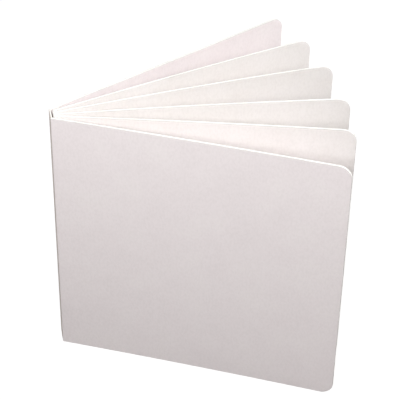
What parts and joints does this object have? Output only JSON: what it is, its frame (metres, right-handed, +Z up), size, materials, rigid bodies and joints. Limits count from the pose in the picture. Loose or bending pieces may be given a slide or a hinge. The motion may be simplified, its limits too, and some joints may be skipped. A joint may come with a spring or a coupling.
{
  "type": "blank board book",
  "caption": "Square blank board book standing open on its lower edges, thick plain boards fanned from a hollow folded-card spine, covers hinged at the spine folds.",
  "frame": {"origin": "foot of the pages' glued root: the middle of the row of leaf roots, on the surface the book stands on", "axes": "+X from the spine towards the fore-edges along the middle of the fan, +Y from the front cover towards the back cover, +Z up along the spine"},
  "size_m": [0.1539, 0.1457, 0.1524],
  "materials": {
    "cover_board": "matte white clay-coated board, faint mottle",
    "page_board": "matte white clay-coated board, cut edges brighter",
    "spine_card": "matte white card, scored along its folds"
  },
  "bodies": {
    "block": {"pages": "page_board", "spine": "spine_card"},
    "front_cover": {"front_cover": "cover_board"},
    "back_cover": {"back_cover": "cover_board"}
  },
  "joints": [
    {"name": "front_cover_hinge", "type": "hinge", "parent": "block", "child": "front_cover", "pos_m": [-0.0018, -0.00405, 0], "axis": [0, 0, 1], "range_deg": [-154, 11]},
    {"name": "back_cover_hinge", "type": "hinge", "parent": "block", "child": "back_cover", "pos_m": [-0.0018, 0.00405, 0], "axis": [0, 0, 1], "range_deg": [-8, 153]}
  ]
}
